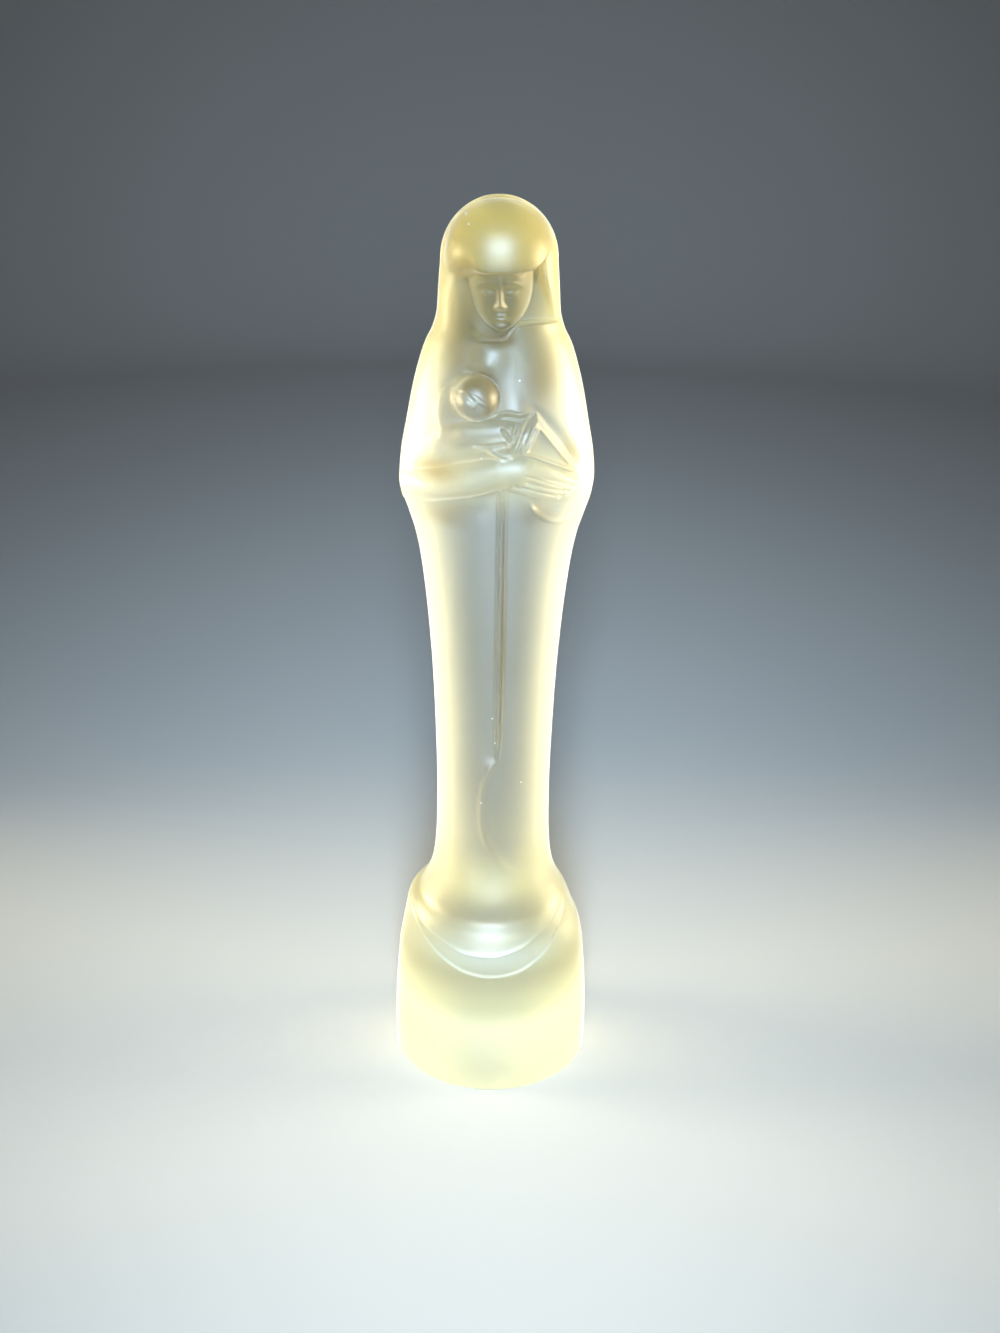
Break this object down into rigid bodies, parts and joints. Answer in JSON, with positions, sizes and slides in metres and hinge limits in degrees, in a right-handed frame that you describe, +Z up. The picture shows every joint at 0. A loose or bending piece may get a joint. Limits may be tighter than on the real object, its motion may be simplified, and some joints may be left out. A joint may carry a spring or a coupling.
{
  "type": "virgin and child statue",
  "caption": "Tall, slim veiled mother holding a swaddled child in her arms, carved in soft relief, in one piece with a high oval plinth under her robe.",
  "frame": {"origin": "middle of the plinth's flat underside, on the surface that it stands on", "axes": "+Z up the figure, -Y the way that the figure faces, +X to the viewer's right"},
  "size_m": [0.088, 0.0687, 0.36],
  "materials": {
    "frosted_glass": "solid glass with an even, satin acid-etched surface, faintly straw-coloured in its depth"
  },
  "bodies": {
    "root": {"virgin_and_child": "frosted_glass"}
  },
  "joints": []
}
